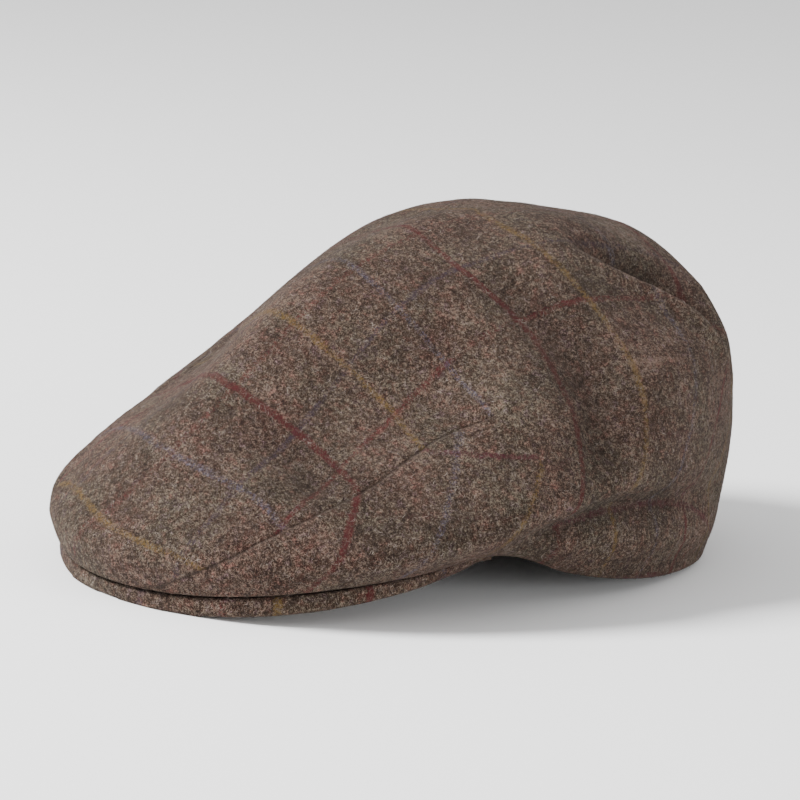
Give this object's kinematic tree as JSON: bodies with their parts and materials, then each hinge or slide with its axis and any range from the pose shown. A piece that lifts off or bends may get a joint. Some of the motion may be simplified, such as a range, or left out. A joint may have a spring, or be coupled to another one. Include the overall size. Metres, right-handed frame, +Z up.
{
  "type": "flat cap",
  "caption": "Duckbill flat cap of checked tweed with a one-piece crown, a side panel each side and a cloth-covered peak, resting on a surface.",
  "frame": {"origin": "Centre of the cap's box in plan, on the surface it rests on.", "axes": "+Z up, the peak points to -Y, the wearer's left is +X."},
  "size_m": [0.1961, 0.2694, 0.1219],
  "materials": {
    "tweed": "heathered brown wool tweed with a faint red, yellow and blue overcheck"
  },
  "bodies": {
    "root": {"crown": "tweed", "side_panel_left": "tweed", "side_panel_right": "tweed", "peak": "tweed"}
  },
  "joints": []
}
